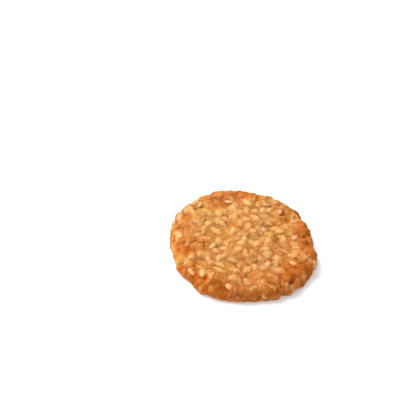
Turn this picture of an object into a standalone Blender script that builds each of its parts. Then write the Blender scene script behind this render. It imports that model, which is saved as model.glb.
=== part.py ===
"""A sesame cookie: one thin baked disc that lies on its flat base.

The disc is turned from a half section, remeshed into even facets, and then given the uneven outline
and the gently hummocked top of dough that was dropped by hand and spread in the oven.
Metres, +Z up, origin at the middle of the base.
"""

import math

import bmesh
import bpy
from mathutils import Vector, noise

# Driving dimensions, in metres
EDGE_RADIUS = 0.0270  # radius of the waist, where the disc is widest, before the outline's bumps
HEIGHT = 0.0059  # height of the top's middle above the base
CROWN = 0.0004  # fall of the top from its middle to its shoulder
WAIST_HEIGHT = 0.0023  # height of the widest part of the edge
SHOULDER_WIDTH = 0.0036  # how far in from the waist the edge rolls over onto the top
HEEL_WIDTH = 0.0015  # how far in from the waist the edge tucks under to the base

# The outline's bumps and dents, chosen by eye: direction from +X towards +Y in degrees, height in metres
OUTLINE_BUMPS = (
    (15.0, -0.0010),
    (55.0, 0.0010),
    (80.0, -0.0005),
    (105.0, 0.0010),
    (190.0, -0.0005),
    (205.0, -0.0010),
    (255.0, 0.0010),
    (285.0, -0.0010),
    (325.0, 0.0005),
    (355.0, 0.0010),
)
OUTLINE_SPREAD = 12.0  # how far to each side a bump or dent reaches, in degrees
SCALLOP_PITCH = 0.0042  # length along the edge of one small wave of the outline
SCALLOP_HEIGHT = 0.00022

# The top's unevenness
HUMMOCK_WIDTH = 0.0085
HUMMOCK_HEIGHT = 0.00040
LUMP_WIDTH = 0.0032
LUMP_HEIGHT = 0.00022

# Fineness of the shape
SECTION_STEPS = 12  # points along each rounded stretch of the half section
TURN_STEPS = 96  # facets around the turned disc
FACET_SIZE = 0.00125
MERGE_DISTANCE = 0.00001
BASE_TOLERANCE = 0.0001  # how near the base's plane a point counts as part of the base
FLAT_ANGLE = math.radians(0.1)

# The finish of the baked crust
CRUST_COLOUR = (0.62, 0.27, 0.075, 1.0)
CRUST_ROUGHNESS = 0.62


def clear_scene():
    """Removes whatever objects the file holds."""
    for thing in list(bpy.data.objects):
        bpy.data.objects.remove(thing)


def half_section():
    """Radius and height along the half section: out over the top, down round the edge, in under the base."""
    shoulder_radius = EDGE_RADIUS - SHOULDER_WIDTH
    shoulder_height = HEIGHT - CROWN
    points = []
    for i in range(SECTION_STEPS):
        share = i / SECTION_STEPS
        points.append((shoulder_radius * share, HEIGHT - CROWN * share**2))
    for i in range(SECTION_STEPS):
        turn = math.radians(90.0) * i / SECTION_STEPS
        out = SHOULDER_WIDTH * math.sin(turn)
        rise = (shoulder_height - WAIST_HEIGHT) * math.cos(turn)
        points.append((shoulder_radius + out, WAIST_HEIGHT + rise))
    for i in range(SECTION_STEPS + 1):
        turn = math.radians(90.0) * i / SECTION_STEPS
        tuck = HEEL_WIDTH * (1.0 - math.cos(turn))
        points.append((EDGE_RADIUS - tuck, WAIST_HEIGHT * (1.0 - math.sin(turn))))
    points.append((0.0, 0.0))
    return points


def turned_disc():
    """The half section turned about Z and remeshed into even facets, as a mesh."""
    points = [(radius, 0.0, height) for radius, height in half_section()]
    edges = [(i, i + 1) for i in range(len(points) - 1)]
    section = bpy.data.meshes.new("half_section")
    section.from_pydata(points, edges, [])
    blank = bpy.data.objects.new("half_section", section)
    bpy.context.scene.collection.objects.link(blank)

    screw = blank.modifiers.new("turn", "SCREW")
    screw.axis = "Z"
    screw.steps = TURN_STEPS
    screw.render_steps = TURN_STEPS
    screw.use_merge_vertices = True
    screw.merge_threshold = MERGE_DISTANCE
    remesh = blank.modifiers.new("even_facets", "REMESH")
    remesh.mode = "VOXEL"
    remesh.voxel_size = FACET_SIZE

    evaluated = blank.evaluated_get(bpy.context.evaluated_depsgraph_get())
    disc = bpy.data.meshes.new_from_object(evaluated)
    bpy.data.objects.remove(blank)
    bpy.data.meshes.remove(section)
    return disc


def outline_offset(direction):
    """How far the edge stands out from the round in a direction, in metres."""
    offset = 0.0
    for bump_direction, bump_height in OUTLINE_BUMPS:
        away = math.remainder(direction - math.radians(bump_direction), math.tau)
        offset += bump_height * math.exp(-((away / math.radians(OUTLINE_SPREAD)) ** 2))
    waves = EDGE_RADIUS / SCALLOP_PITCH
    on_circle = Vector((math.cos(direction), math.sin(direction), 0.0)) * waves
    return offset + SCALLOP_HEIGHT * noise.noise(on_circle)


def top_relief(place):
    """How far the top stands above its smooth crown at a place, in metres: broad hummocks with lumps on them."""
    flat_place = Vector((place.x, place.y, 0.0))
    hummock = HUMMOCK_HEIGHT * noise.noise(flat_place / HUMMOCK_WIDTH)
    lump = LUMP_HEIGHT * noise.noise(flat_place / LUMP_WIDTH)
    return hummock + lump


def baked_place(place):
    """Where baking leaves a point of the turned disc: spread to the outline, and raised by the top's relief."""
    if place.z < BASE_TOLERANCE:
        height = 0.0
    else:
        height = place.z + top_relief(place) * place.z / HEIGHT
    spread = 1.0 + outline_offset(math.atan2(place.y, place.x)) / EDGE_RADIUS
    return Vector((place.x * spread, place.y * spread, height))


def shape_by_baking(mesh):
    """Moves every point to its baked place, then slides the whole so that its box is centred on the origin."""
    for vertex in mesh.vertices:
        vertex.co = baked_place(vertex.co)
    across = [vertex.co.x for vertex in mesh.vertices]
    along = [vertex.co.y for vertex in mesh.vertices]
    middle = Vector((min(across) + max(across), min(along) + max(along), 0.0)) / 2.0
    for vertex in mesh.vertices:
        vertex.co -= middle


def flatten_base(mesh):
    """Joins the base's facets into one flat face."""
    bm = bmesh.new()
    bm.from_mesh(mesh)
    base_verts = [v for v in bm.verts if v.co.z < BASE_TOLERANCE]
    base_edges = [e for e in bm.edges if all(v.co.z < BASE_TOLERANCE for v in e.verts)]
    bmesh.ops.dissolve_limit(bm, angle_limit=FLAT_ANGLE, verts=base_verts, edges=base_edges)
    bm.to_mesh(mesh)
    bm.free()


def crust_material():
    """Golden brown baked dough."""
    material = bpy.data.materials.new("baked_crust")
    material.use_nodes = True
    shader = material.node_tree.nodes["Principled BSDF"]
    shader.inputs["Base Color"].default_value = CRUST_COLOUR
    shader.inputs["Roughness"].default_value = CRUST_ROUGHNESS
    shader.inputs["Metallic"].default_value = 0.0
    return material


def make_cookie():
    """The whole cookie, as one object in a collection of its own."""
    mesh = turned_disc()
    mesh.name = "cookie"
    shape_by_baking(mesh)
    flatten_base(mesh)
    mesh.shade_smooth()
    mesh.materials.clear()
    mesh.materials.append(crust_material())
    cookie = bpy.data.objects.new("cookie", mesh)
    collection = bpy.data.collections.new("sesame_cookie")
    bpy.context.scene.collection.children.link(collection)
    collection.objects.link(cookie)


def main():
    clear_scene()
    make_cookie()


if __name__ == "__main__":
    main()
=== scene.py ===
"""Looks of the sesame cookie: a baked dough disc, the seeds set in it, its crumbs, and a plain pale stage.

Every piece is a surface worked out with numpy. The dough's surface is a function of two parameters: the
share of the way down its section, from the middle of the top (0) to the edge of the base (1), and the
turn about Z. Metres, +Z up, in the frame of the CAD solid that the dough replaces.
"""

import itertools
import math

import bpy
import numpy as np
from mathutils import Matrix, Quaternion, Vector


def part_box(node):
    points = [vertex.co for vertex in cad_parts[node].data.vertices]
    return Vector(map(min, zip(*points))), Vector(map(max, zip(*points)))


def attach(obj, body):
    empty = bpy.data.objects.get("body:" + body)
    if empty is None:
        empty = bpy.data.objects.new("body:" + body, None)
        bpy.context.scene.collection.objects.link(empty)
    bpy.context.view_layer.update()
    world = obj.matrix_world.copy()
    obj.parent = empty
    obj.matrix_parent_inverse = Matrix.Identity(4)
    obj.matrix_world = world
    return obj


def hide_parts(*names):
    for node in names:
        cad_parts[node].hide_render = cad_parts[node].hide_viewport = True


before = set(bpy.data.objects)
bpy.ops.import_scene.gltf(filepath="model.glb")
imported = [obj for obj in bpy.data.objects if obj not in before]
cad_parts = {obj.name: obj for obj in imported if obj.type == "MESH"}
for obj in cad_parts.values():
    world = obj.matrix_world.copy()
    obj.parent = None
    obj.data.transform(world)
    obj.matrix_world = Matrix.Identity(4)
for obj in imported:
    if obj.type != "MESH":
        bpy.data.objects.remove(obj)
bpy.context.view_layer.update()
CAD_NODE = "cookie"
CAD_LOW, CAD_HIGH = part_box(CAD_NODE)
CAD_HEIGHT = CAD_HIGH.z
BODY = "root"
MM = 0.001

bl_info = {
    "name": "Sesame Cookie",
    "version": (1, 0, 0),
    "blender": (4, 5, 0),
    "location": "View3D > Sidebar > Cookie",
    "description": "Bakes a sesame cookie: the dough, the seeds set in it, its crumbs and a pale stage",
    "category": "Add Mesh",
}

# Counts
TOP_CELLS = 270  # grid cells across the top and down both sides to the base
BASE_CELLS = TOP_CELLS // 2  # grid cells across the base
LATTICE = 64  # random values along each side of the noise lattice
OCTAVES = 3  # layers of the rough noise
OUTLINE_BINS = 90  # directions in which the CAD solid's outline is measured
SEED_TRIES = 9000  # random places tried for each layer of seeds
SEED_RINGS, SEED_SIDES = 6, 8
PORES = 170  # pores on the top
CRUMB_RINGS, CRUMB_SIDES = 3, 6

# Keys of the random draws
LOWER_SEEDS_KEY, UPPER_SEEDS_KEY = 5, 7
HUMMOCK_KEY, SMALL_HUMMOCK_KEY = 11, 13
FILM_KEY, SMALL_FILM_KEY = 17, 19
SEED_KEY = 23
PORE_KEY = 29
GRAIN_KEY, ROUGH_GRAIN_KEY = 31, 33
MELT_KEY, OVAL_KEY = 37, 39
PIT_KEY = 41
PUSH_KEYS = (43, 44, 45)
LUMP_KEY, SMALL_LUMP_KEY = 47, 53
BROWNING_KEY = 61
HULL_KEY, BLUSH_KEY = 71, 73
CRUMB_KEY = 83


def length(name, description, default):
    """A length property in metres, with room for hundredths of a millimetre."""
    return bpy.props.FloatProperty(
        name=name, description=description, default=default, min=0.0, unit="LENGTH", precision=5
    )


def colour(name, description, default):
    """A colour property without alpha."""
    return bpy.props.FloatVectorProperty(
        name=name, description=description, default=default, size=3, min=0.0, max=1.0, subtype="COLOR"
    )


def share(name, description, default):
    """A property that goes from 0 to 1."""
    return bpy.props.FloatProperty(
        name=name, description=description, default=default, min=0.0, max=1.0, subtype="FACTOR"
    )


def rotation(name, description, default):
    """An angle property in radians."""
    return bpy.props.FloatProperty(name=name, description=description, default=default, unit="ROTATION")


def amount(name, description, default):
    """A plain property that is never below 0."""
    return bpy.props.FloatProperty(name=name, description=description, default=default, min=0.0)


class DoughSettings(bpy.types.PropertyGroup):
    """Sizes and colours of the baked dough."""

    shoulder: length("Shoulder", "How far in from the edge the top starts to roll over", 3.6 * MM)
    heel: length("Heel", "How far the edge tucks in under the cookie", 1.5 * MM)
    waist_height: length("Waist height", "Height of the widest part of the edge", 2.3 * MM)
    crown: length("Crown", "Fall of the top from its middle to its shoulder", 0.6 * MM)
    headroom: length("Headroom", "How far the bare dough lies below the top of the cookie", 1.00 * MM)
    edge_room: length("Edge room", "How far inside the edge of the cookie the bare dough lies", 0.65 * MM)
    hummock_width: length("Hummock width", "Width of the broad swells of the top", 8.5 * MM)
    hummock_height: length("Hummock height", "Height of the broad swells of the top", 0.82 * MM)
    film_width: length("Film patch width", "Width of the patches where dough floods the seeds", 4.2 * MM)
    film_height: length("Film height", "How high the dough floods the seeds in those patches", 0.65 * MM)
    grain_width: length("Grain width", "Width of the fine grains of the crust", 0.95 * MM)
    grain_height: length("Grain height", "Height of the fine grains of the crust", 0.19 * MM)
    lump_width: length("Lump width", "Width of the soft lumps of dough near the rim", 3.3 * MM)
    lump_height: length("Lump height", "Height of the soft lumps of dough near the rim", 0.58 * MM)
    pore_width: length("Pore width", "Width of the pores where steam escaped", 0.55 * MM)
    pore_depth: length("Pore depth", "Depth of the pores", 0.30 * MM)
    melt: length("Melt", "How softly the dough runs from one seed to the next", 0.11 * MM)
    pale: colour("Pale dough", "The least baked dough, in the middle", (0.445, 0.222, 0.065))
    golden: colour("Golden dough", "The dough half way out", (0.480, 0.187, 0.038))
    toasted: colour("Toasted dough", "The dough at the rim", (0.475, 0.138, 0.019))
    scorched: colour("Scorched dough", "The darkest dough, low on the side", (0.42, 0.096, 0.003))
    # painted shade: colours that darken the dough in its hollows, where shade falls, paler for the least
    # baked dough
    hollow_shade: colour("Hollows", "What multiplies the colour in the deepest hollows", (0.42, 0.31, 0.20))
    pale_hollow_shade: colour("Pale hollows", "The same for the least baked dough", (0.46, 0.38, 0.30))
    rosy: colour("Rosy dough", "The pinkish patches", (0.50, 0.175, 0.055))
    straw: colour("Straw dough", "The yellowish patches", (0.56, 0.262, 0.044))
    veiled_seed: colour("Veiled seed", "A seed that shows through a thin film of dough", (0.76, 0.417, 0.150))


class SeedSettings(bpy.types.PropertyGroup):
    """Sizes and colours of the sesame seeds."""

    seed_length: length("Length", "Length of an average seed", 4.1 * MM)
    seed_width: length("Width", "Width of an average seed", 2.7 * MM)
    seed_thickness: length("Thickness", "Thickness of an average seed", 1.2 * MM)
    spacing: length("Spacing", "Least distance between two of the seeds that lie low in the dough", 2.0 * MM)
    upper_spacing: length("Upper spacing", "The same for the seeds that stand out", 2.8 * MM)
    bare: share("Bare seeds", "Share of the seeds that stand out that the dough leaves bare", 0.30)
    rise: length("Rise", "How far an average seed stands out of the dough", 0.42 * MM)
    cream: colour("Cream seed", "The palest seeds", (0.62, 0.36, 0.145))
    gold: colour("Golden seed", "The most toasted seeds", (0.57, 0.275, 0.075))
    blush: colour("Blush seed", "The pinkish seeds", (0.60, 0.325, 0.150))
    tip: colour("Seed tip", "The pointed end of a seed", (0.50, 0.20, 0.04))


class CrumbSettings(bpy.types.PropertyGroup):
    """Sizes and number of the crumbs."""

    number: bpy.props.IntProperty(
        name="Number", description="How many crumbs lie on the cookie", default=260, min=1
    )
    width: length("Width", "Width of an average crumb", 0.38 * MM)


class StageSettings(bpy.types.PropertyGroup):
    """The camera, the lights and the floor."""

    elevation: rotation("Elevation", "How steeply the camera looks down", math.radians(45.5))
    roll: rotation("Roll", "How far the camera is turned about its own axis", math.radians(10.0))
    lens: amount("Lens", "Focal length in millimetres", 150.0)
    distance: length("Distance", "From the camera to the cookie", 600.0 * MM)
    off_right: length("Off right", "How far right of the picture's middle the cookie lies", 15.8 * MM)
    off_down: length("Off down", "How far below the picture's middle the cookie lies", 15.8 * MM)
    floor: colour("Floor", "The plain pale floor", (0.88, 0.90, 0.92))
    glow: amount("Glow", "Strength of the floor's own light", 0.19)
    sky: amount("Sky", "Strength of the light from all round", 0.635)
    key: amount("Key", "Power of the key light in watts", 2.58)
    key_size: length("Key size", "Width of the key light", 360.0 * MM)
    fill: amount("Fill", "Power of the fill light in watts", 0.75)
    fill_size: length("Fill size", "Width of the fill light", 600.0 * MM)


# ---------------- noise and outline


def lattice_noise(places, pitch, key):
    """Smooth noise from -1 to 1.

    Random values stand on a cubic lattice of that pitch; between its corners they blend by the cubic
    3t^2 - 2t^3 of the share t of the way along each axis.
    """
    values = np.random.default_rng(key).uniform(-1.0, 1.0, (LATTICE, LATTICE, LATTICE))
    scaled = places / pitch + LATTICE / 2
    corner = np.floor(scaled).astype(int)
    part = scaled - corner
    part = part * part * (3.0 - 2.0 * part)
    total = np.zeros(places.shape[:-1])
    for step in itertools.product((0, 1), repeat=3):
        weight = np.prod(np.where(step, part, 1.0 - part), axis=-1)
        x, y, z = np.moveaxis((corner + step) % LATTICE, -1, 0)
        total += weight * values[x, y, z]
    return total


def rough_noise(places, pitch, key):
    """Layers of lattice noise, each of half the pitch and half the height of the one before, from -1 to 1."""
    scales = [0.5**octave for octave in range(OCTAVES)]
    total = np.zeros(places.shape[:-1])
    for octave, scale in enumerate(scales):
        total += scale * lattice_noise(places, scale * pitch, key + octave)
    return total / sum(scales)


def ease(low, high, values):
    """0 below low, 1 above high, and the cubic 3t^2 - 2t^3 between them."""
    part = np.clip((values - low) / (high - low), 0.0, 1.0)
    return part * part * (3.0 - 2.0 * part)


def unit(vectors):
    """The vectors at length 1."""
    return vectors / np.maximum(np.linalg.norm(vectors, axis=-1, keepdims=True), 1e-12)


def measured_outline():
    """The CAD solid's largest radius in each of OUTLINE_BINS directions, smoothed, then the first again."""
    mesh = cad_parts[CAD_NODE].data
    flat = np.empty(len(mesh.vertices) * 3, np.float32)
    mesh.vertices.foreach_get("co", flat)
    x, y, _ = flat.reshape(-1, 3).astype(float).T
    direction = np.arctan2(y, x) % math.tau
    bins = np.round(direction / math.tau * OUTLINE_BINS).astype(int) % OUTLINE_BINS
    widest = np.zeros(OUTLINE_BINS)
    np.maximum.at(widest, bins, np.hypot(x, y))
    widest = (np.roll(widest, 1) + 2.0 * widest + np.roll(widest, -1)) / 4.0
    return np.append(widest, widest[0])


OUTLINE = measured_outline()


def waist_radius(turn):
    """The radius of the cookie's widest part in a direction."""
    directions = np.linspace(0.0, math.tau, OUTLINE_BINS + 1)
    return np.interp(turn % math.tau, directions, OUTLINE)


# ---------------- the dough's smooth surface


def section_shares(dough):
    """The shares of the section's length at which its top ends and at which its shoulder ends.

    The section is measured in a round cookie of average width, without its edge room. A quarter ellipse
    with half axes a and b is about pi/2 * sqrt((a^2 + b^2) / 2) long.
    """
    top = OUTLINE.mean() - dough.shoulder
    roll = CAD_HEIGHT - dough.headroom - dough.crown - dough.waist_height
    shoulder = math.pi / 2 * math.sqrt((dough.shoulder**2 + roll**2) / 2)
    heel = math.pi / 2 * math.sqrt((dough.heel**2 + dough.waist_height**2) / 2)
    whole = top + shoulder + heel
    return top / whole, (top + shoulder) / whole


def smooth_surface(dough, down, turn, waist=None):
    """The dough's surface before anything rises from it.

    Down the section the radius first grows evenly over the crowned top, then rolls over a quarter ellipse
    to the waist, and then tucks in under a second quarter ellipse to the base.
    """
    waist = (waist_radius(turn) if waist is None else waist) - dough.edge_room
    top_end, shoulder_end = section_shares(dough)
    top_height = CAD_HEIGHT - dough.headroom
    roll = top_height - dough.crown - dough.waist_height
    out = down / top_end
    over = (down - top_end) / (shoulder_end - top_end) * math.pi / 2
    under = (down - shoulder_end) / (1.0 - shoulder_end) * math.pi / 2
    on_top = down < top_end
    on_shoulder = down < shoulder_end
    tucked_radius = waist - dough.heel * (1.0 - np.cos(under))
    tucked_height = dough.waist_height * (1.0 - np.sin(under))
    radius = np.where(on_shoulder, waist - dough.shoulder * (1.0 - np.sin(over)), tucked_radius)
    radius = np.where(on_top, (waist - dough.shoulder) * out, radius)
    height = np.where(on_shoulder, dough.waist_height + roll * np.cos(over), tucked_height)
    height = np.where(on_top, top_height - dough.crown * out**2, height)
    return np.stack([radius * np.cos(turn), radius * np.sin(turn), height], axis=-1)


def surface_frame(dough, down, turn, waist=None):
    """Place, outward normal, downhill tangent and around tangent, from small steps of both parameters.

    In the very middle, where the turn has no meaning, the directions of places close by are used.
    """
    step = 2e-4
    off_middle = np.maximum(down, 10 * step)
    ahead = smooth_surface(dough, off_middle + step, turn, waist)
    behind = smooth_surface(dough, off_middle - step, turn, waist)
    left = smooth_surface(dough, off_middle, turn + step, waist)
    right = smooth_surface(dough, off_middle, turn - step, waist)
    downhill = unit(ahead - behind)
    around = unit(left - right)
    outward = unit(np.cross(downhill, around))
    return smooth_surface(dough, down, turn, waist), outward, downhill, unit(np.cross(outward, downhill))


def hummocks(dough, places):
    """Height of the broad hummocks: noise of their width, and 0.8 of noise of half that width."""
    broad = lattice_noise(places, dough.hummock_width, HUMMOCK_KEY)
    narrow = lattice_noise(places, dough.hummock_width / 2, SMALL_HUMMOCK_KEY)
    return dough.hummock_height * (broad + 0.8 * narrow)


def film(dough, places):
    """Height above the hummocks of the dough between the seeds.

    Noise of the patches' width and 0.45 of noise of half that width are added, and eased between 0.05 and
    0.75. The result goes from -0.1 of the film's height, in most places, to the whole of it.
    """
    broad = lattice_noise(places, dough.film_width, FILM_KEY)
    narrow = lattice_noise(places, dough.film_width / 2, SMALL_FILM_KEY)
    return dough.film_height * (1.1 * ease(0.05, 0.75, broad + 0.45 * narrow) - 0.1)


# ---------------- where the seeds lie

LOWEST_SEED = 0.975  # share of the section above which seeds lie
EDGE_START = 0.02  # from this far past the top's end, in shares of the section, seeds follow the edge
EDGE_HEADING_SPREAD = 0.55  # spread of those seeds' headings about the edge's own, in radians
REACH = 0.29  # from a seed's middle to its two other points that keep their distance, in lengths
SIZE_SPREAD, WIDTH_SPREAD = 0.12, 0.09  # spread of the seeds' sizes, and of their widths beyond that
BARE_WIDTH = 0.96  # width of a bare seed against one that the film broadens
LEAST_BARE_RISE = 0.28 * MM  # how far a bare seed always stands out of the film


def packed_seeds(dough, seeds, spacing, key):
    """Places for one layer of seeds, packed at random one after another.

    Each try takes a random place, even by area, and a random heading, which on the edge is more or less
    along it. It is kept if its middle and two points towards its ends are all at least one spacing from
    those of every seed kept before. The cookie counts as round here, so the packing is only stretched, not
    changed, by the bumps of the outline.
    """
    chance = np.random.default_rng(key)
    round_waist = OUTLINE.mean()
    down = chance.uniform(0.0, LOWEST_SEED, SEED_TRIES)
    turn = chance.uniform(0.0, math.tau, SEED_TRIES)
    heading = chance.uniform(0.0, math.pi, SEED_TRIES)
    edge_heading = chance.normal(math.pi / 2, EDGE_HEADING_SPREAD, SEED_TRIES)
    draw = chance.uniform(0.0, 1.0, SEED_TRIES)
    top_end, _ = section_shares(dough)
    heading = np.where(down > top_end + EDGE_START, edge_heading, heading)
    place, _, downhill, around = surface_frame(dough, down, turn, round_waist)
    along = downhill * np.cos(heading)[:, None] + around * np.sin(heading)[:, None]
    reach = REACH * seeds.seed_length
    triples = np.stack([place - along * reach, place, place + along * reach], axis=1)
    by_area = draw < np.hypot(place[:, 0], place[:, 1]) / round_waist
    kept, taken = [], np.empty((0, 3))
    for index in np.flatnonzero(by_area):
        gaps = np.linalg.norm(triples[index][:, None, :] - taken[None, :, :], axis=-1)
        if gaps.size and gaps.min() < spacing:
            continue
        kept.append(index)
        taken = np.concatenate([taken, triples[index]])
    return np.stack([down[kept], turn[kept], heading[kept]])


def seed_layout(dough, seeds):
    """Every seed's place, axes, half sizes and rise out of the dough, whether it is bare, and how it looks.

    A lower layer covers the whole cookie, and a looser one that stands out more lies on it as far as part
    way down the shoulder. Only seeds of the upper one can be bare, and fewest are where the film of dough
    is high. On the side seeds are a little lower, and they show less through the dough.
    """
    lower = packed_seeds(dough, seeds, seeds.spacing, LOWER_SEEDS_KEY)
    upper = packed_seeds(dough, seeds, seeds.upper_spacing, UPPER_SEEDS_KEY)
    top_end, shoulder_end = section_shares(dough)
    upper_end = 0.4 * top_end + 0.6 * shoulder_end
    side_start = 0.35 * top_end + 0.65 * shoulder_end
    side_end = 0.5 * (shoulder_end + 1.0)
    upper = upper[:, upper[0] < upper_end]
    down, turn, heading = np.concatenate([lower, upper], axis=1)
    count = len(down)
    on_others = np.arange(count) >= lower.shape[1]
    chance = np.random.default_rng(SEED_KEY)
    place, outward, downhill, around = surface_frame(dough, down, turn)
    along = downhill * np.cos(heading)[:, None] + around * np.sin(heading)[:, None]
    along *= chance.choice([-1.0, 1.0], count)[:, None]
    size = chance.normal(1.0, SIZE_SPREAD, count).clip(0.75, 1.25)
    slim = chance.normal(1.0, WIDTH_SPREAD, count).clip(0.80, 1.18)
    side = ease(side_start, side_end, down)
    flood = film(dough, place)
    dry = 1.0 - 0.8 * ease(0.0, dough.film_height, flood)
    bare = chance.uniform(0.0, 1.0, count) < seeds.bare * dry * on_others
    spread = chance.uniform(0.0, 1.0, count)
    veiled_rise = seeds.rise * (0.45 + 0.60 * spread + 0.60 * on_others) * (1.0 - 0.10 * side)
    bare_rise = np.maximum(seeds.rise * (1.05 + 0.70 * spread), flood + LEAST_BARE_RISE)
    return {
        "place": place,
        "outward": outward,
        "along": along,
        "across": np.cross(outward, along),
        "half_length": 0.5 * seeds.seed_length * size,
        "half_width": 0.5 * seeds.seed_width * size * slim * np.where(bare, BARE_WIDTH, 1.0),
        "half_thickness": 0.5 * seeds.seed_thickness * size,
        "rise": np.where(bare, bare_rise, veiled_rise),
        "bare": bare,
        "tone": (chance.uniform(0.0, 0.45, count) + np.where(on_others, 0.50, 0.35)) * (1.0 - 0.75 * side),
        "tilt": chance.normal(0.0, 1.0, (count, 2)),
        "down": down,
    }


def seed_taper(lengthwise):
    """Width of a seed's oval at the share x of its half length, against an even one: 1 + 0.28x - 0.12x^2."""
    return 1.0 + 0.28 * lengthwise - 0.12 * lengthwise**2


# ---------------- the dough

MELT_PATCH, MELT_UNEVEN = 5.0 * MM, 0.9  # patches where the dough runs more or less softly
OVAL_PATCH, OVAL_UNEVEN = 1.5 * MM, 0.22  # unevenness of the ovals that the seeds raise
LEAN = 0.28  # how much a seed's tilt raises one end of its cap
CAP_REACH = 1.5  # how far from its middle a seed raises the dough, in half lengths
DRAWN_WIDTH = 1.30  # how much larger than a bare seed the dough that it draws up is
DRAWN_RISE = 0.45  # how high that dough rises, as a share of the bare seed's rise
LEAST_EXPONENT = -40.0  # below this a height adds nothing to the soft maximum
VEIL_DEPTH = 0.22 * MM  # depth of dough that hides all but a third of a seed's colour
PORE_LIMIT = 0.9  # share of the cookie's radius within which the pores lie
PUSH_PATCH = 2.4 * MM  # width of the patches in which the lumps are pushed one way
LUMP_PUSH, SMALL_LUMP_PUSH = 0.7 * MM, 0.4 * MM  # how far they are pushed
ROUGH_GRAIN = 0.9 * MM  # width of the roughness on the grains
HOLLOW_REACH = 4  # grid cells over which a point's height is compared with those around it
HOLLOW_DEPTH = 0.6 * MM  # height above or below those around that changes its standing by 1
BASE_EDGE = 0.985  # radius of the base's own grid, as a share of the heel's
PIT_WIDTH, PIT_DEPTH = 1.6 * MM, 0.10 * MM  # the base's fine pits
BASE_PATCH = 5.0 * MM  # width of the base's browner patches
BROWNING_PATCHES = ((3.0 * MM, 0.9), (5.5 * MM, 1.3), (10.0 * MM, 1.5))  # widths and weights

# What each cause adds to how toasted the dough is, from 0 to 1, painted shade on one side among them
MIDDLE_TOAST, RIM_TOAST, SIDE_TOAST = 0.25, 0.38, 0.19  # everywhere, out to the rim, and down the side
PATCH_TOAST = 0.17  # in the browning's patches, and as much again at the rim
PAINTED_SHADE_TOAST = 0.19  # painted shade: more toast towards the side away from the key light, lower right in the camera's view
GRAIN_TOAST = 0.08  # from a pale grain to a brown one
MOST_TOAST = 0.90  # all of these together
LUMP_TOAST, SIDE_LUMP_TOAST = 0.30, 0.90  # on the soft lumps, and as much more on those of the side
BASE_TOAST, BASE_PATCH_TOAST = 0.86, 0.12  # on the base, and in its patches


def risen_dough(dough, layout, places):
    """How far the film and the seeds under it stand above the hummocks, and how thinly it veils them.

    A seed's cap is rise * (1 - q), where q is 0 over its middle, grows with the square of the distance from
    it and is 1 on the seed's oval. Noise makes the oval uneven, and the cap leans towards one end by the
    seed's tilt. The film and all the caps run together by the soft maximum
    melt * ln(sum(exp(height / melt))). A bare seed only draws the dough up round it. The veil is
    tint * exp(-cover / VEIL_DEPTH), where cover is the dough above the highest cap, and tint is that seed's
    tone times the square root of 1 - q.
    """
    melt = dough.melt * (1.0 + MELT_UNEVEN * lattice_noise(places, MELT_PATCH, MELT_KEY))
    wobble = 1.0 + OVAL_UNEVEN * lattice_noise(places, OVAL_PATCH, OVAL_KEY)
    total = np.exp(film(dough, places) / melt)
    highest = np.full(total.shape, -1.0)
    thinness = np.zeros(total.shape)
    for index, bare in enumerate(layout["bare"]):
        offset = places - layout["place"][index]
        reach = CAP_REACH * layout["half_length"][index]
        near = np.einsum("...k,...k->...", offset, offset) < reach**2
        drawn_width = DRAWN_WIDTH if bare else 1.0
        drawn_rise = DRAWN_RISE if bare else 1.0
        x = offset[near] @ layout["along"][index] / (layout["half_length"][index] * drawn_width)
        y = offset[near] @ layout["across"][index] / (layout["half_width"][index] * drawn_width)
        outline = (x * x + (y / seed_taper(np.clip(x, -1.0, 1.0))) ** 2) * wobble[near]
        cap = layout["rise"][index] * drawn_rise * (1.0 - outline)
        cap *= 1.0 + LEAN * layout["tilt"][index, 0] * x
        total[near] += np.exp(np.maximum(cap / melt[near], LEAST_EXPONENT))
        if not bare:
            tint = layout["tone"][index] * np.sqrt(np.clip(1.0 - outline, 0.0, 1.0))
            thinness[near] = np.where(cap > highest[near], tint, thinness[near])
            highest[near] = np.maximum(highest[near], cap)
    relief = melt * np.log(total)
    return relief, thinness * np.exp(-(relief - highest) / VEIL_DEPTH)


def pores(dough, places):
    """Depth of the pores: bell curves at random places on the top, the wider the deeper."""
    chance = np.random.default_rng(PORE_KEY)
    depth = np.zeros(places.shape[:-1])
    for _ in range(PORES):
        radius = CAD_HIGH.x * PORE_LIMIT * math.sqrt(chance.uniform())
        turn = chance.uniform(0.0, math.tau)
        size = dough.pore_width * chance.uniform(0.6, 1.3)
        offset = places[..., :2] - radius * np.array([math.cos(turn), math.sin(turn)])
        squared = np.einsum("...k,...k->...", offset, offset) / (0.5 * size) ** 2
        depth = np.maximum(depth, dough.pore_depth * size / dough.pore_width * np.exp(-squared))
    return depth


def domes(places, width, key):
    """Height of closely packed domes, from 0 to 1, and each one's own tone.

    Every cell of a cubic lattice holds one dome at a random place, with a random size s up to 1. Its height
    at a distance d, in cells, is s * (1 - (d / (0.9 s))^2), and the highest of the 27 cells around counts.
    """
    chance = np.random.default_rng(key)
    places_in_cell = chance.uniform(0.0, 1.0, (LATTICE, LATTICE, LATTICE, 3))
    sizes = chance.uniform(0.35, 1.0, (LATTICE, LATTICE, LATTICE))
    tones = chance.uniform(0.0, 1.0, (LATTICE, LATTICE, LATTICE))
    scaled = places / width + LATTICE / 2
    corner = np.floor(scaled).astype(int)
    height = np.zeros(places.shape[:-1])
    tone = np.full(places.shape[:-1], 0.5)
    for step in itertools.product((-1, 0, 1), repeat=3):
        cell = corner + step
        x, y, z = np.moveaxis(cell % LATTICE, -1, 0)
        size = sizes[x, y, z]
        offset = scaled - cell - places_in_cell[x, y, z]
        dome = size * (1.0 - np.einsum("...k,...k->...", offset, offset) / (0.9 * size) ** 2)
        tone = np.where(dome > height, tones[x, y, z], tone)
        height = np.maximum(height, dome)
    return height, tone


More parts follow.
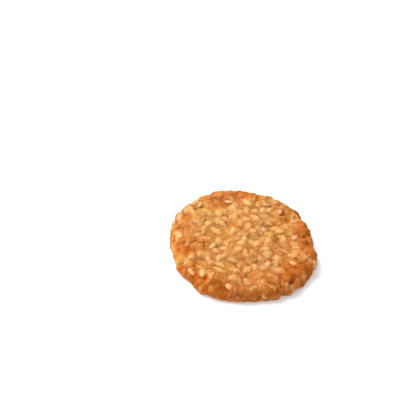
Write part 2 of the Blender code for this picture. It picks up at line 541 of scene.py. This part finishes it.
def lumps(dough, places, down):
    """Height of the soft lumps near the rim, and how much darker or lighter each is.

    They are domes of their width, with 0.55 as high ones of half that width on them, at places that noise
    has pushed about. They fade out towards the middle.
    """
    push = np.stack([lattice_noise(places, PUSH_PATCH, key) for key in PUSH_KEYS], axis=-1)
    height, tone = domes(places + LUMP_PUSH * push, dough.lump_width, LUMP_KEY)
    small, small_tone = domes(places + SMALL_LUMP_PUSH * push, dough.lump_width / 2, SMALL_LUMP_KEY)
    rim = ease(0.45, 0.85, down)
    return dough.lump_height * (height + 0.55 * small) * rim, 0.6 * (tone + small_tone - 1.0) * rim


def blurred(values, reach):
    """The values averaged over the grid with a bell curve, first across and then down."""
    for axis in (0, 1):
        steps = range(-2 * reach, 2 * reach + 1)
        weights = [math.exp(-((step / reach) ** 2)) for step in steps]
        shifted = [weight * np.roll(values, step, axis) for step, weight in zip(steps, weights)]
        values = sum(shifted) / sum(weights)
    return values


def disc_grid(cells):
    """A square grid bent onto the unit disc, as radius and turn.

    Each square ring of the grid becomes a circle: a point's distance from the middle is the larger of its
    two coordinates, and its turn is an eighth of a turn times their ratio, counted from its own side.
    """
    ticks = np.linspace(-1.0, 1.0, cells + 1)
    x, y = np.meshgrid(ticks, ticks)
    sideways = np.abs(x) >= np.abs(y)
    longer = np.where(sideways, x, y)
    shorter = np.where(sideways, y, x)
    ratio = np.divide(shorter, longer, out=np.zeros_like(longer), where=longer != 0.0)
    angle = np.where(sideways, ratio * math.pi / 4, math.pi / 2 - ratio * math.pi / 4)
    turn = np.where(longer < 0.0, angle + math.pi, angle)
    return np.abs(longer), turn


def grid_numbers(cells):
    """The numbers of a grid's points, row by row."""
    return np.arange((cells + 1) ** 2).reshape(cells + 1, cells + 1)


def grid_quads(cells):
    """The four corners of every cell of a grid, counter-clockwise."""
    numbers = grid_numbers(cells)
    corners = (numbers[:-1, :-1], numbers[:-1, 1:], numbers[1:, 1:], numbers[1:, :-1])
    return np.stack(corners, axis=-1).reshape(-1, 4)


def grid_border(cells):
    """The numbers of a grid's border points, counter-clockwise from its first corner."""
    numbers = grid_numbers(cells)
    sides = (numbers[0, :-1], numbers[:-1, -1], numbers[-1, :0:-1], numbers[:0:-1, 0])
    return np.concatenate(sides)


def border_strip(top_border, base_border):
    """Five-cornered faces from a border to the one with half as many points just inside it."""
    after = np.roll(top_border, -1)
    base_after = np.roll(base_border, -1)
    corners = (top_border[0::2], base_border, base_after, np.roll(after, -1)[0::2], after[0::2])
    return np.stack(corners, axis=-1)


def fill_mesh(name, places, faces, attributes):
    """A mesh from an array of places, arrays of faces with equal numbers of corners, and point attributes."""
    corners = np.concatenate([group.ravel() for group in faces])
    totals = np.concatenate([np.full(len(group), group.shape[1]) for group in faces])
    starts = np.concatenate([[0], np.cumsum(totals)[:-1]])
    mesh = bpy.data.meshes.new(name)
    mesh.vertices.add(len(places))
    mesh.vertices.foreach_set("co", places.astype(np.float32).ravel())
    mesh.loops.add(len(corners))
    mesh.loops.foreach_set("vertex_index", corners.astype(np.int32))
    mesh.polygons.add(len(totals))
    mesh.polygons.foreach_set("loop_start", starts.astype(np.int32))
    mesh.update(calc_edges=True)
    for key, values in attributes.items():
        layer = mesh.attributes.new(key, "FLOAT", "POINT")
        layer.data.foreach_set("value", values.astype(np.float32).ravel())
    mesh.shade_smooth()
    return mesh


def new_object(name, data):
    """An object in the scene that shows the data."""
    made = bpy.data.objects.new(name, data)
    bpy.context.scene.collection.objects.link(made)
    return made


def new_piece(name, mesh, material):
    """An object at the origin that shows the mesh, rides on the cookie's body and has its finish."""
    mesh.materials.append(material)
    piece = new_object(name, mesh)
    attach(piece, BODY)
    return piece


def browning_and_shade(places, down, side, shoulder_end):
    """How toasted the dough is before its grains and lumps show.

    It grows from the middle to the rim and again down the side, and noise makes it browner and paler in
    patches, more so towards the rim. It also grows towards +X and -Y, and fastest near the rim there, as
    painted shade on the side away from the key light, lower right in the camera's view.
    """
    patches = sum(weight * lattice_noise(places, width, BROWNING_KEY) for width, weight in BROWNING_PATCHES)
    across = (0.70 * places[..., 0] - 0.71 * places[..., 1]) / CAD_HIGH.x
    # painted shade: more toast towards +X and -Y, the side away from the key light
    painted_shade_side = 0.9 * across + 2.0 * ease(0.3, 1.0, across)
    outer = ease(0.25, 0.80, down) * (1.0 - 0.2 * side)
    toast_and_shade = MIDDLE_TOAST + RIM_TOAST * ease(0.28, 0.82, down)
    toast_and_shade += SIDE_TOAST * ease(shoulder_end - 0.12, 1.0, down)
    return toast_and_shade + PATCH_TOAST * (1.0 + outer) * patches + PAINTED_SHADE_TOAST * painted_shade_side


def dough_top(dough, layout):
    """Places and attributes of the top and the side, as a grid of TOP_CELLS.

    The dough stands out from its smooth surface by the hummocks, the film with the seeds under it, the soft
    lumps and the grains, less the pores. Standing is 0.5 where a point is as high as those around it.
    """
    down, turn = disc_grid(TOP_CELLS)
    place, outward, _, _ = surface_frame(dough, down, turn)
    top_end, shoulder_end = section_shares(dough)
    side = ease(top_end, shoulder_end, down)
    relief, veil = risen_dough(dough, layout, place)
    lump, lump_tone = lumps(dough, place, down)
    grain, grain_tone = domes(place, dough.grain_width, GRAIN_KEY)
    grain = dough.grain_height * (grain + 0.4 * rough_noise(place, ROUGH_GRAIN, ROUGH_GRAIN_KEY))
    grain *= 1.0 - 0.95 * veil
    holes = pores(dough, place) * (1.0 - side) * (1.0 - veil)
    risen = hummocks(dough, place) * (1.0 - 0.5 * side) + relief + lump + grain - holes
    places = place + outward * risen[..., None]
    places[..., 2] = np.maximum(places[..., 2], 0.0)

    detail = relief + lump + 0.6 * grain - holes
    # this toast holds real browning plus painted shade on the side away from the key light
    toast_and_shade = browning_and_shade(place, down, side, shoulder_end) + GRAIN_TOAST * (grain_tone - 0.5) * (1.0 - veil)
    attributes = {
        "toast_and_shade": np.minimum(toast_and_shade, MOST_TOAST) + (LUMP_TOAST + SIDE_LUMP_TOAST * side) * lump_tone,
        "veil": veil,
        # standing sets the painted shade in the hollows and the painted light on raised points in the finish
        "standing": 0.5 + (detail - blurred(detail, HOLLOW_REACH)) / HOLLOW_DEPTH,
    }
    return places, attributes


def dough_base(dough):
    """Places and attributes of the base, as a grid of BASE_CELLS: flat, finely pitted and evenly browned."""
    outward_share, turn = disc_grid(BASE_CELLS)
    radius = (waist_radius(turn) - dough.edge_room - dough.heel) * BASE_EDGE * outward_share
    places = np.stack([radius * np.cos(turn), radius * np.sin(turn), np.zeros_like(radius)], axis=-1)
    toast_and_shade = BASE_TOAST + BASE_PATCH_TOAST * rough_noise(places, BASE_PATCH, BROWNING_KEY)
    places[..., 2] = PIT_DEPTH * ease(-0.2, 1.0, rough_noise(places, PIT_WIDTH, PIT_KEY))
    return places, {"toast_and_shade": toast_and_shade, "veil": np.zeros_like(toast_and_shade), "standing": np.full_like(toast_and_shade, 0.5)}


def dough_mesh(dough, layout):
    """The whole dough: a fine grid over the top and down the sides, a coarser one under the base."""
    top, top_attributes = dough_top(dough, layout)
    base, base_attributes = dough_base(dough)
    attributes = {
        key: np.concatenate([values.ravel(), base_attributes[key].ravel()]).clip(0.0, 1.0)
        for key, values in top_attributes.items()
    }
    first_base = (TOP_CELLS + 1) ** 2
    strip = border_strip(grid_border(TOP_CELLS), grid_border(BASE_CELLS) + first_base)
    base_quads = grid_quads(BASE_CELLS)[:, ::-1] + first_base
    places = np.concatenate([top.reshape(-1, 3), base.reshape(-1, 3)])
    return fill_mesh("baked_dough", places, [grid_quads(TOP_CELLS), base_quads, strip], attributes)


# ---------------- seeds and crumbs

PITCH_SPREAD = math.radians(7.0)  # spread of how far the bare seeds tip towards an end
BANK_SPREAD = math.radians(9.0)  # and towards a side
HULL_PATCH, HULL_UNEVEN = 0.7 * MM, 0.035 * MM  # width and height of the unevenness of a seed's hull
SMEAR_HEIGHT = 0.55 * MM  # how far above the film dough is smeared on a bare seed
LEAST_HEIGHT = 0.05 * MM  # height above the ground that seeds and crumbs keep
CRUMB_AREA = 0.9  # share of the cookie, by area from its middle, on which crumbs lie


def pebble(rings, sides):
    """A closed round body of few faces: rings of points between two poles on its x axis.

    Returns each point's share of the length, from -1 to 1, its angle round the axis, and the faces.
    """
    ring_angle = np.pi * np.arange(1, rings + 1) / (rings + 1)
    lengthwise = np.repeat(-np.cos(ring_angle), sides)
    angle = np.tile(math.tau * np.arange(sides) / sides, rings)
    lengthwise = np.concatenate([[-1.0], lengthwise, [1.0]])
    angle = np.concatenate([[0.0], angle, [0.0]])
    numbers = 1 + np.arange(rings * sides).reshape(rings, sides)
    after = np.roll(numbers, -1, axis=1)
    bands = np.stack([numbers[:-1], numbers[1:], after[1:], after[:-1]], axis=-1).reshape(-1, 4)
    last = rings * sides + 1
    near_cap = np.stack([np.zeros(sides, int), numbers[0], after[0]], axis=-1)
    far_cap = np.stack([np.full(sides, last), after[-1], numbers[-1]], axis=-1)
    return lengthwise, angle, [bands, np.concatenate([near_cap, far_cap])]


def repeated(faces, points, count):
    """The faces of one body, repeated for a row of bodies that have so many points each."""
    first = (np.arange(count) * points)[:, None, None]
    return [(group[None] + first).reshape(-1, group.shape[1]) for group in faces]


def seeds_mesh(dough, seeds, layout):
    """The bare seeds: flattened ovals drawn to a tip, sunk in the dough by all but their rise.

    Each tips by its own pitch and bank. Its tone goes from pale to toasted towards the edge, and dough is
    smeared on it up to SMEAR_HEIGHT above the film.
    """
    bare = np.flatnonzero(layout["bare"])
    lengthwise, angle, faces = pebble(SEED_RINGS, SEED_SIDES)
    part = {key: values[bare] for key, values in layout.items()}
    width = np.sqrt(1.0 - lengthwise**2) * seed_taper(lengthwise)
    x = part["half_length"][:, None] * lengthwise[None, :]
    y = part["half_width"][:, None] * (width * np.cos(angle))[None, :]
    z = part["half_thickness"][:, None] * (width * np.sin(angle))[None, :]

    pitch = np.tan(PITCH_SPREAD * part["tilt"][:, 0])[:, None]
    bank = np.tan(BANK_SPREAD * part["tilt"][:, 1])[:, None]
    z = z + pitch * x + bank * y
    lump, _ = lumps(dough, part["place"], part["down"])
    lift = hummocks(dough, part["place"]) + lump + part["rise"] - part["half_thickness"]
    centre = part["place"] + part["outward"] * lift[:, None]
    places = (
        centre[:, None, :]
        + x[..., None] * part["along"][:, None, :]
        + y[..., None] * part["across"][:, None, :]
        + z[..., None] * part["outward"][:, None, :]
    )
    normal = unit(places - centre[:, None, :])
    places = places + normal * (HULL_UNEVEN * lattice_noise(places, HULL_PATCH, HULL_KEY))[..., None]
    places[..., 2] = np.maximum(places[..., 2], LEAST_HEIGHT)
    above_film = z + (part["rise"] - part["half_thickness"] - film(dough, part["place"]))[:, None]
    count, points = x.shape
    tone = 1.7 * (1.0 - part["tone"]) + 0.45 * ease(0.4, 1.0, part["down"])
    blush = ease(0.45, 0.8, np.random.default_rng(BLUSH_KEY).uniform(0.0, 1.0, count))
    attributes = {
        "tone": np.repeat(tone.clip(0.0, 1.0), points),
        "lengthwise": np.tile(lengthwise, count),
        "blush": np.repeat(blush, points),
        "smear": (1.0 - above_film / SMEAR_HEIGHT).clip(0.0, 1.0).ravel(),
    }
    return fill_mesh("sesame_seeds", places.reshape(-1, 3), repeated(faces, points, count), attributes)


def crumbs_mesh(dough, crumbs):
    """Crumbs: small uneven pebbles, partly sunk in the dough, evenly thrown, and browner towards the edge."""
    chance = np.random.default_rng(CRUMB_KEY)
    count = crumbs.number
    down = np.sqrt(chance.uniform(0.0, CRUMB_AREA, count))
    turn = chance.uniform(0.0, math.tau, count)
    place, outward, downhill, around = surface_frame(dough, down, turn)
    lengthwise, angle, faces = pebble(CRUMB_RINGS, CRUMB_SIDES)
    size = 0.5 * crumbs.width * chance.lognormal(0.0, 0.35, count).clip(0.5, 2.0)
    girth = np.sqrt(1.0 - lengthwise**2)
    uneven = 1.0 + 0.22 * chance.uniform(-1.0, 1.0, (count, len(lengthwise)))
    body = np.stack([lengthwise, girth * np.cos(angle), girth * np.sin(angle)], axis=-1)
    body = body[None] * (size[:, None] * uneven)[..., None]
    axes = np.stack([downhill, around, outward], axis=1)
    level = hummocks(dough, place) + lumps(dough, place, down)[0] + film(dough, place)
    centre = place + outward * (level + 0.25 * size)[:, None]
    places = centre[:, None, :] + np.einsum("npk,nkj->npj", body, axes)
    places[..., 2] = np.maximum(places[..., 2], LEAST_HEIGHT)
    points = len(lengthwise)
    tone = chance.uniform(0.0, 0.6, count) + 0.4 * ease(0.3, 0.9, down)
    attributes = {"tone": np.repeat(tone, points)}
    return fill_mesh("dough_crumbs", places.reshape(-1, 3), repeated(faces, points, count), attributes)


# ---------------- finishes

NOISE_LIMITS = (0.3, 0.7)  # between these lies nearly all of a noise node's output


class Finish:
    """A material under construction, with short names for the nodes that the finishes are made of."""

    def __init__(self, name):
        self.material = bpy.data.materials.new(name)
        self.material.use_nodes = True
        self.tree = self.material.node_tree
        self.object_coordinates = self.node("ShaderNodeTexCoord").outputs["Object"]

    def node(self, kind, **settings):
        """A new node with some of its settings."""
        made = self.tree.nodes.new(kind)
        for key, value in settings.items():
            setattr(made, key, value)
        return made

    def join(self, value, socket):
        """Links an output to a socket, or sets the socket to a plain value."""
        if isinstance(value, bpy.types.NodeSocket):
            self.tree.links.new(value, socket)
        else:
            socket.default_value = value

    def surface(self, sockets):
        """The finished material, its shader's sockets linked or set by name."""
        for key, value in sockets.items():
            self.join(value, self.tree.nodes["Principled BSDF"].inputs[key])
        return self.material

    def attribute(self, name):
        """The value of one of the piece's point attributes."""
        return self.node("ShaderNodeAttribute", attribute_name=name).outputs["Fac"]

    def noise(self, width, detail=2.0, roughness=0.5):
        """Noise from 0 to 1 with features about one width across."""
        made = self.node("ShaderNodeTexNoise")
        self.join(self.object_coordinates, made.inputs["Vector"])
        made.inputs["Scale"].default_value = 1.0 / width
        made.inputs["Detail"].default_value = detail
        made.inputs["Roughness"].default_value = roughness
        return made.outputs["Fac"]

    def combine(self, operation, first, second, clamp=False):
        """Two values made one by a step of arithmetic."""
        made = self.node("ShaderNodeMath", operation=operation, use_clamp=clamp)
        self.join(first, made.inputs[0])
        self.join(second, made.inputs[1])
        return made.outputs[0]

    def rescale(self, value, old, new):
        """The value carried from one pair of limits to another, and kept between them."""
        made = self.node("ShaderNodeMapRange")
        self.join(value, made.inputs["Value"])
        for key, limit in zip(("From Min", "From Max", "To Min", "To Max"), (*old, *new)):
            made.inputs[key].default_value = limit
        return made.outputs["Result"]

    def uneven(self, width, low, high, **settings):
        """Noise of a width carried from its own usual limits to others."""
        return self.rescale(self.noise(width, **settings), NOISE_LIMITS, (low, high))

    def ramp(self, value, stops):
        """Colours along a value: (position, colour) pairs."""
        made = self.node("ShaderNodeValToRGB")
        elements = made.color_ramp.elements
        while len(elements) < len(stops):
            elements.new(0.5)
        for element, (position, tint) in zip(elements, stops):
            element.position = position
            element.color = (*tint, 1.0)
        self.join(value, made.inputs["Fac"])
        return made.outputs["Color"]

    def mix(self, factor, first, second, blend="MIX"):
        """Two colours, each an output or a plain one, mixed by a factor."""
        made = self.node("ShaderNodeMix", data_type="RGBA", blend_type=blend)
        self.join(factor, made.inputs[0])
        for tint, socket in ((first, made.inputs[6]), (second, made.inputs[7])):
            self.join(tint if isinstance(tint, bpy.types.NodeSocket) else (*tint, 1.0), socket)
        return made.outputs[2]

    def bump(self, height, strength, distance, under=None):
        """A bump of the surface by a height."""
        made = self.node("ShaderNodeBump")
        made.inputs["Strength"].default_value = strength
        made.inputs["Distance"].default_value = distance
        self.join(height, made.inputs["Height"])
        if under is not None:
            self.join(under, made.inputs["Normal"])
        return made.outputs["Normal"]


def dough_finish(dough):
    """Baked dough: pale gold to scorched by the toast attribute, with rosy and straw patches.

    It takes on the tint of the seeds where they show through it, which is where the veil attribute is high.
    Where the dough stands high it is paler too, partly from the seeds and partly as painted light on raised
    points. In the hollows it has painted shade, and it is specked and finely grained. The toast attribute
    also carries painted shade on the side away from the key light.
    """
    finish = Finish("baked_dough")
    toast_and_shade = finish.combine(
        "ADD", finish.attribute("toast_and_shade"), finish.uneven(3.0 * MM, -0.12, 0.12), clamp=True
    )
    veil = finish.attribute("veil")
    standing = finish.attribute("standing")
    crust = finish.ramp(
        toast_and_shade, [(0.0, dough.pale), (0.38, dough.golden), (0.72, dough.toasted), (1.0, dough.scorched)]
    )
    seed_and_highlight_tint = finish.mix(finish.rescale(toast_and_shade, (0.42, 0.85), (0.0, 0.92)), dough.veiled_seed, dough.toasted)
    # painted shade: the colour that darkens the hollows, paler for less baked dough
    hollow_shade = finish.mix(finish.rescale(toast_and_shade, (0.30, 0.70), (0.0, 1.0)), dough.pale_hollow_shade, dough.hollow_shade)

    hue = finish.noise(7.5 * MM, detail=1.5)
    rosy = finish.rescale(hue, (0.50, 0.66), (0.0, 0.65))
    straw = finish.rescale(hue, (0.46, 0.32), (0.0, 0.5))
    not_scorched = finish.rescale(toast_and_shade, (0.72, 0.95), (1.0, 0.25))
    not_toasted = finish.rescale(toast_and_shade, (0.45, 0.85), (1.0, 0.0))
    crust = finish.mix(finish.combine("MULTIPLY", rosy, not_scorched), crust, dough.rosy)
    crust = finish.mix(finish.combine("MULTIPLY", straw, not_toasted), crust, dough.straw)

    crust = finish.mix(finish.rescale(veil, (0.05, 0.75), (0.0, 0.85)), crust, seed_and_highlight_tint)
    # painted shade: the crust is darkened where the dough lies low among its neighbours
    crust = finish.mix(finish.rescale(standing, (0.43, 0.02), (0.0, 0.90)), crust, hollow_shade, "MULTIPLY")
    # paler where the dough stands high: seeds showing through, and painted light on raised points
    crust = finish.mix(finish.rescale(standing, (0.50, 0.85), (0.0, 0.70)), crust, seed_and_highlight_tint)
    specks = finish.rescale(finish.noise(0.8 * MM, detail=1.0), (0.63, 0.72), (0.0, 0.6))
    crust = finish.mix(specks, crust, dough.scorched)
    grain = finish.rescale(finish.noise(0.50 * MM, roughness=0.6), (0.28, 0.72), (0.66, 1.08))
    crust = finish.mix(1.0, crust, grain, "MULTIPLY")
    coarse = finish.bump(finish.noise(1.1 * MM, detail=3.0), 0.3, 0.10 * MM)
    return finish.surface(
        {
            "Base Color": crust,
            "Normal": finish.bump(finish.noise(0.28 * MM, roughness=0.6), 0.4, 0.03 * MM, coarse),
            "Roughness": finish.uneven(1.4 * MM, 0.55, 0.75),
            "Specular IOR Level": 0.05,
            "Subsurface Weight": 0.6,
            "Subsurface Radius": (1.0, 0.70, 0.45),
            "Subsurface Scale": 0.6 * MM,
        }
    )


def seed_finish(dough, seeds):
    """Hulled seeds: cream to gold by tone, some pinkish, browner at the tip, dough smeared at the foot."""
    finish = Finish("sesame_seed")
    streaks = finish.uneven(0.8 * MM, -0.18, 0.18, roughness=0.55)
    tone = finish.combine("ADD", finish.attribute("tone"), streaks, clamp=True)
    wander = finish.uneven(1.1 * MM, -0.25, 0.25)
    smear = finish.combine("ADD", finish.attribute("smear"), wander, clamp=True)
    tip = finish.rescale(finish.attribute("lengthwise"), (-0.55, -1.0), (0.0, 0.7))
    hull = finish.ramp(tone, [(0.0, seeds.cream), (1.0, seeds.gold)])
    hull = finish.mix(finish.rescale(finish.attribute("blush"), (0.0, 1.0), (0.0, 0.75)), hull, seeds.blush)
    hull = finish.mix(tip, hull, seeds.tip)
    hull = finish.mix(finish.rescale(smear, (0.2, 0.9), (0.0, 0.85)), hull, dough.golden)
    return finish.surface(
        {
            "Base Color": hull,
            "Normal": finish.bump(finish.noise(0.35 * MM), 0.35, 0.04 * MM),
            "Roughness": finish.uneven(0.6 * MM, 0.36, 0.52),
            "Specular IOR Level": 0.3,
            "Subsurface Weight": 0.2,
            "Subsurface Radius": (1.0, 0.6, 0.3),
            "Subsurface Scale": 0.5 * MM,
        }
    )


def crumb_finish(dough):
    """Crumbs: pale to toasted by tone, with browner spots, rough and dull."""
    finish = Finish("dough_crumb")
    tint = finish.ramp(
        finish.attribute("tone"), [(0.0, dough.pale), (0.5, dough.golden), (1.0, dough.toasted)]
    )
    tint = finish.mix(finish.uneven(0.3 * MM, 0.0, 0.35), tint, dough.toasted)
    return finish.surface(
        {
            "Base Color": tint,
            "Normal": finish.bump(finish.noise(0.2 * MM), 0.4, 0.04 * MM),
            "Roughness": finish.uneven(0.5 * MM, 0.5, 0.7),
            "Specular IOR Level": 0.05,
        }
    )


def floor_finish(stage):
    """A plain pale floor that shines a little by itself."""
    tint = (*stage.floor, 1.0)
    return Finish("pale_floor").surface(
        {
            "Base Color": tint,
            "Roughness": 0.9,
            "Specular IOR Level": 0.1,
            "Emission Color": tint,
            "Emission Strength": stage.glow,
        }
    )


# ---------------- the stage

KEY_PLACE = (-0.25, 0.10, 0.31)
FILL_PLACE = (-0.20, -0.52, 0.35)
FLOOR_REACH = 2.0  # from the cookie to the floor's edges
FLOOR_GAP = 0.02 * MM  # how far below the cookie the floor lies
SENSOR_WIDTH = 36.0  # the camera's, in millimetres
NEAREST_SHOWN = 10.0 * MM


def make_floor(stage):
    """A square floor just below the cookie."""
    ticks = np.array([-FLOOR_REACH, FLOOR_REACH])
    x, y = np.meshgrid(ticks, ticks)
    corners = np.stack([x.ravel(), y.ravel(), np.full(x.size, CAD_LOW.z - FLOOR_GAP)], axis=-1)
    mesh = fill_mesh("floor", corners, [np.array([[0, 1, 3, 2]])], {})
    mesh.materials.append(floor_finish(stage))
    floor = new_object("floor", mesh)


def make_sky(stage):
    """An even white light from all round."""
    world = bpy.data.worlds.new("studio")
    world.use_nodes = True
    background = world.node_tree.nodes["Background"]
    background.inputs["Color"].default_value = (1.0, 1.0, 1.0, 1.0)
    background.inputs["Strength"].default_value = stage.sky
    bpy.context.scene.world = world


def area_light(name, power, size, place, target):
    """A square area light at a place, facing a target."""
    light = bpy.data.lights.new(name, "AREA")
    light.energy = power
    light.size = size
    lamp = new_object(name, light)
    lamp.location = place
    lamp.rotation_mode = "QUATERNION"
    lamp.rotation_quaternion = (Vector(target) - Vector(place)).to_track_quat("-Z", "Y")


def make_camera(stage, middle):
    """The scene's camera, which looks down on the cookie from -Y and has it off the picture's middle."""
    back = Vector((0.0, -math.cos(stage.elevation), math.sin(stage.elevation)))
    eye = middle + back * stage.distance
    level = (-back).to_track_quat("-Z", "Y")
    turned = level @ Quaternion((0.0, 0.0, 1.0), stage.roll)
    aim = middle + turned @ Vector((-stage.off_right, stage.off_down, 0.0))
    swing = (-back).rotation_difference(aim - eye)
    camera = new_object("camera", bpy.data.cameras.new("camera"))
    camera.data.lens = stage.lens
    camera.data.sensor_width = SENSOR_WIDTH
    camera.data.clip_start = NEAREST_SHOWN
    camera.rotation_mode = "QUATERNION"
    camera.location = eye
    camera.rotation_quaternion = swing @ turned
    bpy.context.scene.camera = camera


# ---------------- operators


class COOKIE_OT_bake_dough(bpy.types.Operator):
    """Makes the dough with its hummocks, its veiled seeds and its baked crust"""

    bl_idname = "cookie.bake_dough"
    bl_label = "Bake dough"

    def execute(self, context):
        dough, seeds = context.scene.cookie_dough, context.scene.cookie_seeds
        mesh = dough_mesh(dough, seed_layout(dough, seeds))
        piece = new_piece("baked_dough", mesh, dough_finish(dough))
        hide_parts(CAD_NODE)
        return {"FINISHED"}


class COOKIE_OT_set_seeds(bpy.types.Operator):
    """Makes the sesame seeds that the dough leaves bare"""

    bl_idname = "cookie.set_seeds"
    bl_label = "Set seeds"

    def execute(self, context):
        dough, seeds = context.scene.cookie_dough, context.scene.cookie_seeds
        mesh = seeds_mesh(dough, seeds, seed_layout(dough, seeds))
        new_piece("sesame_seeds", mesh, seed_finish(dough, seeds))
        return {"FINISHED"}


class COOKIE_OT_drop_crumbs(bpy.types.Operator):
    """Makes the loose crumbs"""

    bl_idname = "cookie.drop_crumbs"
    bl_label = "Drop crumbs"

    def execute(self, context):
        dough = context.scene.cookie_dough
        mesh = crumbs_mesh(dough, context.scene.cookie_crumbs)
        new_piece("dough_crumbs", mesh, crumb_finish(dough))
        return {"FINISHED"}


class COOKIE_OT_set_stage(bpy.types.Operator):
    """Makes the floor, the lights and the camera"""

    bl_idname = "cookie.set_stage"
    bl_label = "Set stage"

    def execute(self, context):
        stage = context.scene.cookie_stage
        middle = (CAD_LOW + CAD_HIGH) / 2
        make_floor(stage)
        make_sky(stage)
        area_light("key", stage.key, stage.key_size, KEY_PLACE, middle)
        area_light("fill", stage.fill, stage.fill_size, FILL_PLACE, middle)
        make_camera(stage, middle)
        context.scene.view_settings.view_transform = "Standard"
        return {"FINISHED"}


class COOKIE_PT_panel(bpy.types.Panel):
    """The cookie's pieces and their settings"""

    bl_label = "Sesame Cookie"
    bl_idname = "COOKIE_PT_panel"
    bl_space_type = "VIEW_3D"
    bl_region_type = "UI"
    bl_category = "Cookie"

    def draw(self, context):
        for operator, group in STEPS:
            box = self.layout.box()
            box.operator(operator.bl_idname)
            settings = getattr(context.scene, group)
            for key in type(settings).__annotations__:
                box.prop(settings, key)


STEPS = (
    (COOKIE_OT_bake_dough, "cookie_dough"),
    (COOKIE_OT_set_seeds, "cookie_seeds"),
    (COOKIE_OT_drop_crumbs, "cookie_crumbs"),
    (COOKIE_OT_set_stage, "cookie_stage"),
)
SETTINGS = {
    "cookie_dough": DoughSettings,
    "cookie_seeds": SeedSettings,
    "cookie_crumbs": CrumbSettings,
    "cookie_stage": StageSettings,
}


def register():
    """Adds the settings, the operators and the panel to Blender."""
    for key, group in SETTINGS.items():
        bpy.utils.register_class(group)
        setattr(bpy.types.Scene, key, bpy.props.PointerProperty(type=group))
    for operator, _ in STEPS:
        bpy.utils.register_class(operator)
    bpy.utils.register_class(COOKIE_PT_panel)


def unregister():
    """Takes them away again, in the opposite order."""
    bpy.utils.unregister_class(COOKIE_PT_panel)
    for operator, _ in reversed(STEPS):
        bpy.utils.unregister_class(operator)
    for key, group in reversed(SETTINGS.items()):
        delattr(bpy.types.Scene, key)
        bpy.utils.unregister_class(group)


def main():
    """Makes every piece and the stage."""
    register()
    bpy.ops.cookie.bake_dough()
    bpy.ops.cookie.set_seeds()
    bpy.ops.cookie.drop_crumbs()
    bpy.ops.cookie.set_stage()


if __name__ == "__main__":
    main()
